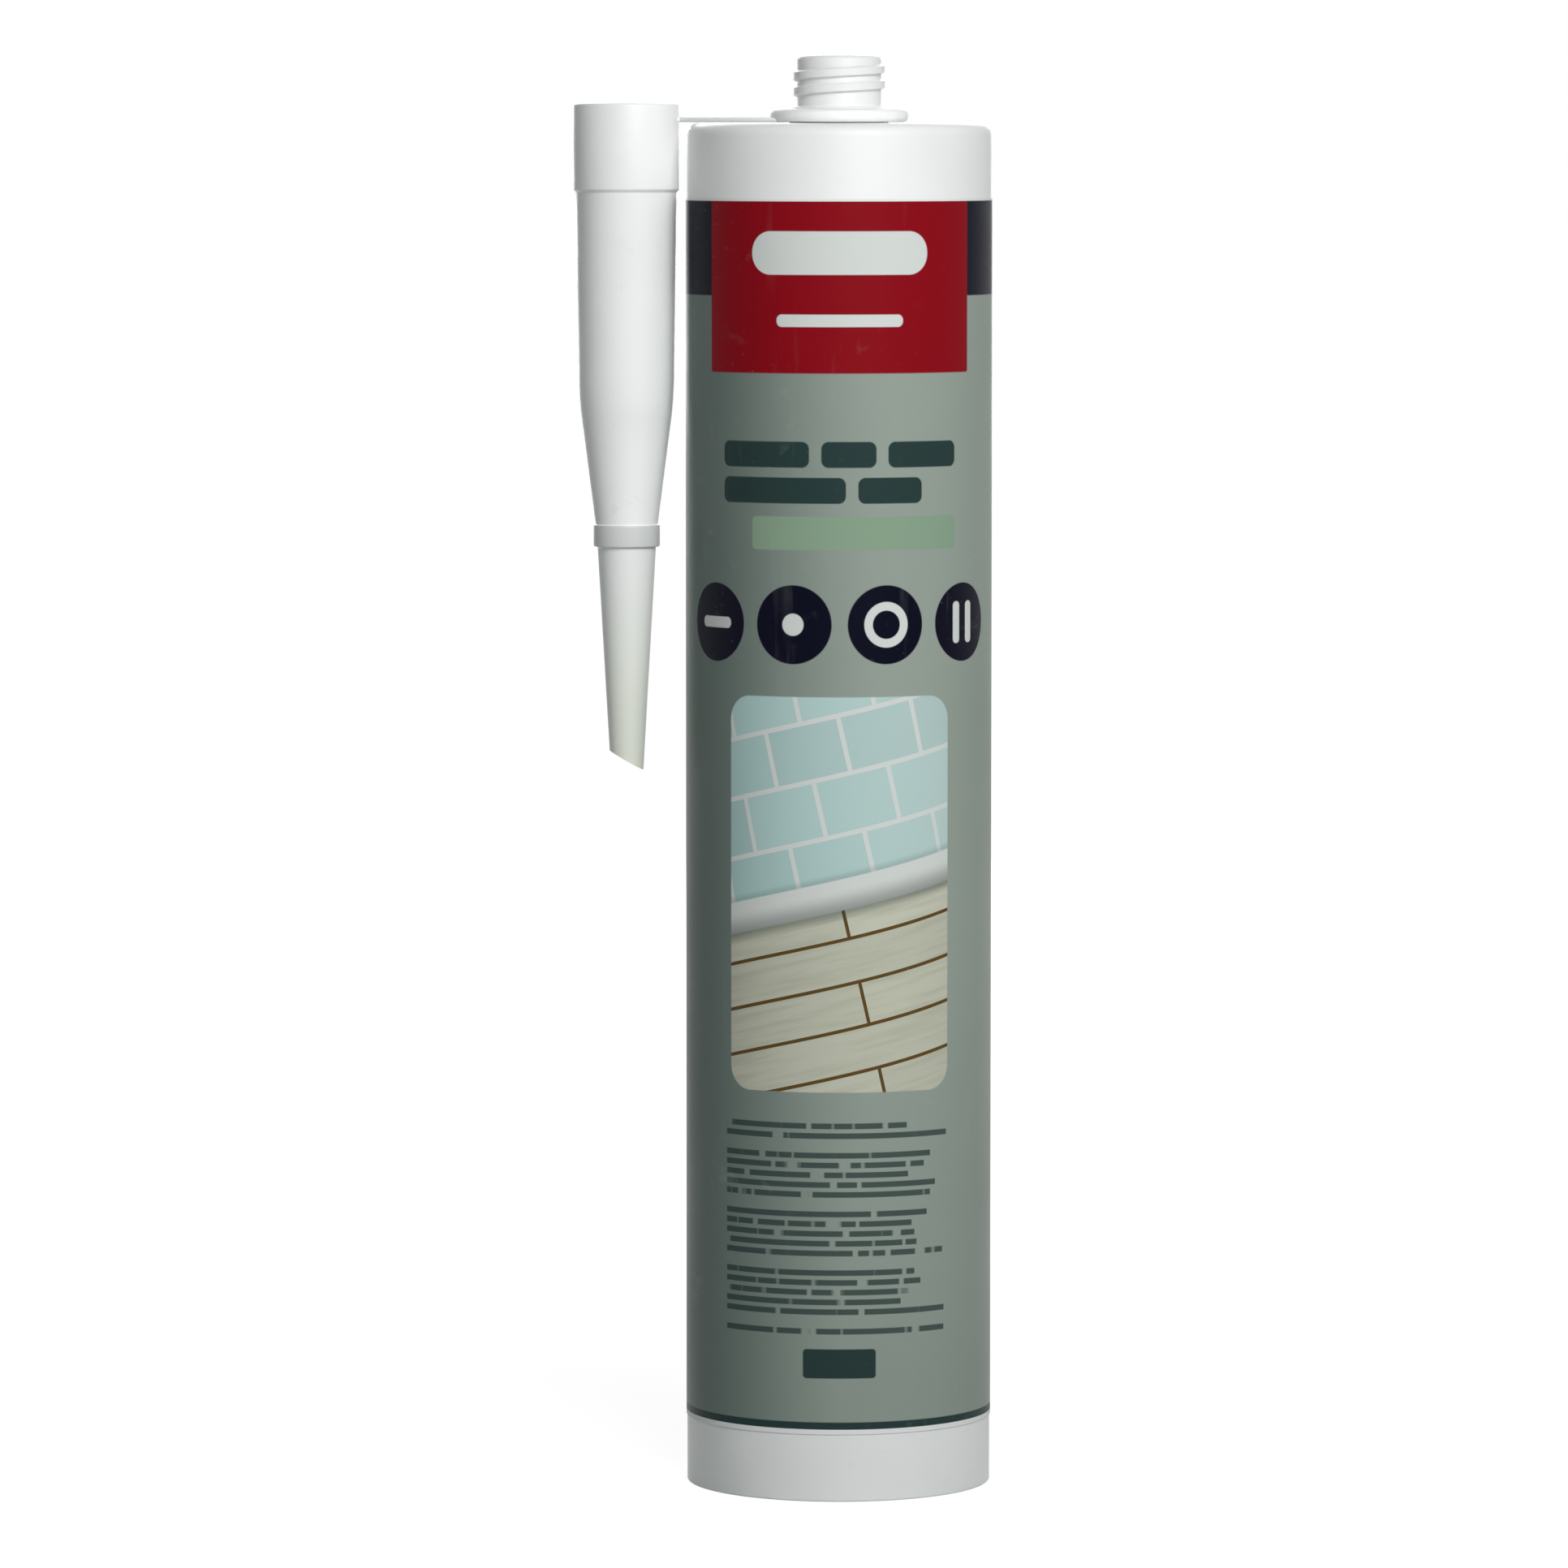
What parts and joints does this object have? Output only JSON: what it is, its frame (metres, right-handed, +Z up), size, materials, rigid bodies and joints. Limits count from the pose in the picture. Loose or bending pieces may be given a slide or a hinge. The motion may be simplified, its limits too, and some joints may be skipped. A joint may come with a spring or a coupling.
{
  "type": "caulk tube",
  "caption": "White plastic sealant cartridge with a printed label, a piston in its open rear end and a tapered nozzle hung from its neck by a strap and eyelet.",
  "frame": {"origin": "centre of the rear opening, in the plane of the rim the cartridge stands on", "axes": "+Z up the cartridge's axis to its neck, -Y out of the front of the label, -X towards the hanging nozzle"},
  "size_m": [0.0686, 0.0502, 0.235],
  "materials": {
    "white_polyethylene": "satin white moulded high-density polyethylene",
    "printed_film": "grey-green printed film with a soft gloss",
    "piston_polyethylene": "off-white moulded low-density polyethylene",
    "sealant_paste": "white acrylic paste",
    "natural_polyethylene": "milky white moulded polyethylene, slightly translucent at the tip"
  },
  "bodies": {
    "cartridge": {"cartridge": "white_polyethylene", "label": "printed_film", "sealant": "sealant_paste"},
    "piston": {"piston": "piston_polyethylene"},
    "nozzle": {"nozzle": "natural_polyethylene"}
  },
  "joints": [
    {"name": "piston_slide", "type": "slide", "parent": "cartridge", "child": "piston", "axis": [0, 0, 1], "range_m": [0, 0.173], "deforming": ["sealant"]},
    {"name": "nozzle_swing", "type": "hinge", "parent": "cartridge", "child": "nozzle", "pos_m": [0, 0, 0.22525], "axis": [0, 0, 1], "continuous": true}
  ]
}
